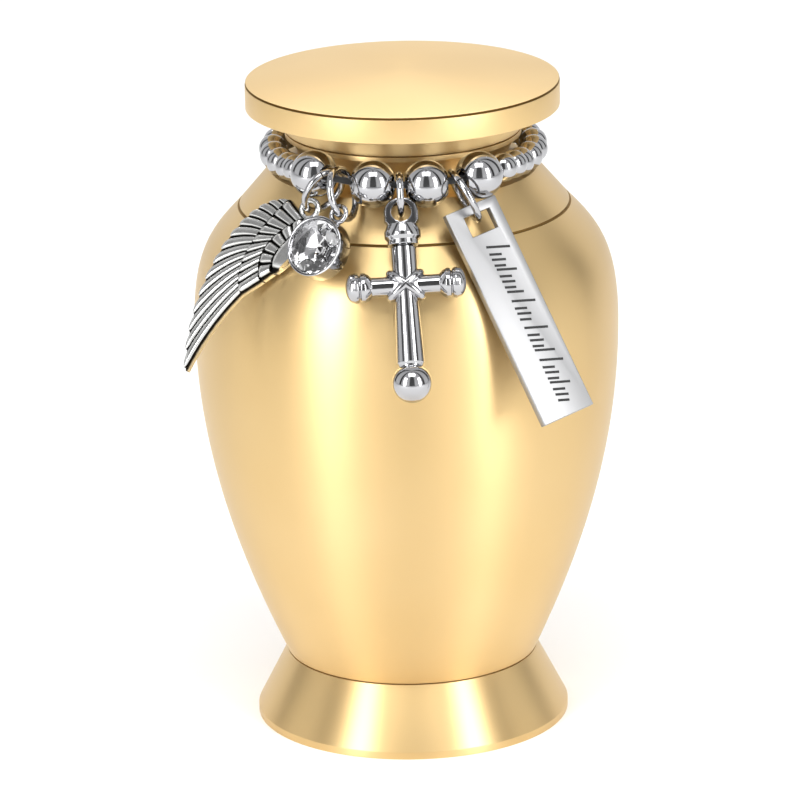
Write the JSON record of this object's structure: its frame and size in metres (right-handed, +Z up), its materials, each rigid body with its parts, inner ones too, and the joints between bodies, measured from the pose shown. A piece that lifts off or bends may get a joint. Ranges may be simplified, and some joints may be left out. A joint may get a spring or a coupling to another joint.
{
  "type": "keepsake cremation urn",
  "caption": "Small gold aluminium cremation urn with a lift-off lid and a steel bead bracelet round its neck that carries a cross, a wing, a crystal and a bar tag.",
  "frame": {"origin": "on the urn's axis, at the underside of its foot", "axes": "+Z up along the urn's axis, -Y to the front, where the cross hangs, +X to the right of someone who faces the front"},
  "size_m": [0.046, 0.0518, 0.0715],
  "materials": {
    "gold": "satin gold anodised",
    "steel": "polished stainless steel",
    "silver": "cast, antiqued silver colour with black in the grooves",
    "crystal": "clear, faceted",
    "elastic": "dull elastic cord"
  },
  "bodies": {
    "root": {"bar_tag": "steel", "bracelet_cord": "elastic", "cross": "steel", "cross_cap": "steel", "cross_ring": "steel", "crystal_bezel": "steel", "crystal_ring": "steel", "crystal_stone": "crystal", "foot": "gold", "large_bead_1": "steel", "large_bead_2": "steel", "large_bead_3": "steel", "large_bead_4": "steel", "lid": "gold", "small_bead_01": "steel", "small_bead_02": "steel", "small_bead_03": "steel", "small_bead_04": "steel", "small_bead_05": "steel", "small_bead_06": "steel", "small_bead_07": "steel", "small_bead_08": "steel", "small_bead_09": "steel", "small_bead_10": "steel", "small_bead_11": "steel", "small_bead_12": "steel", "small_bead_13": "steel", "small_bead_14": "steel", "small_bead_15": "steel", "small_bead_16": "steel", "small_bead_17": "steel", "small_bead_18": "steel", "small_bead_19": "steel", "small_bead_20": "steel", "small_bead_21": "steel", "small_bead_22": "steel", "small_bead_23": "steel", "small_bead_24": "steel", "small_bead_25": "steel", "tag_ring": "steel", "urn_body": "gold", "wing": "silver", "wing_ring": "steel"}
  },
  "joints": []
}
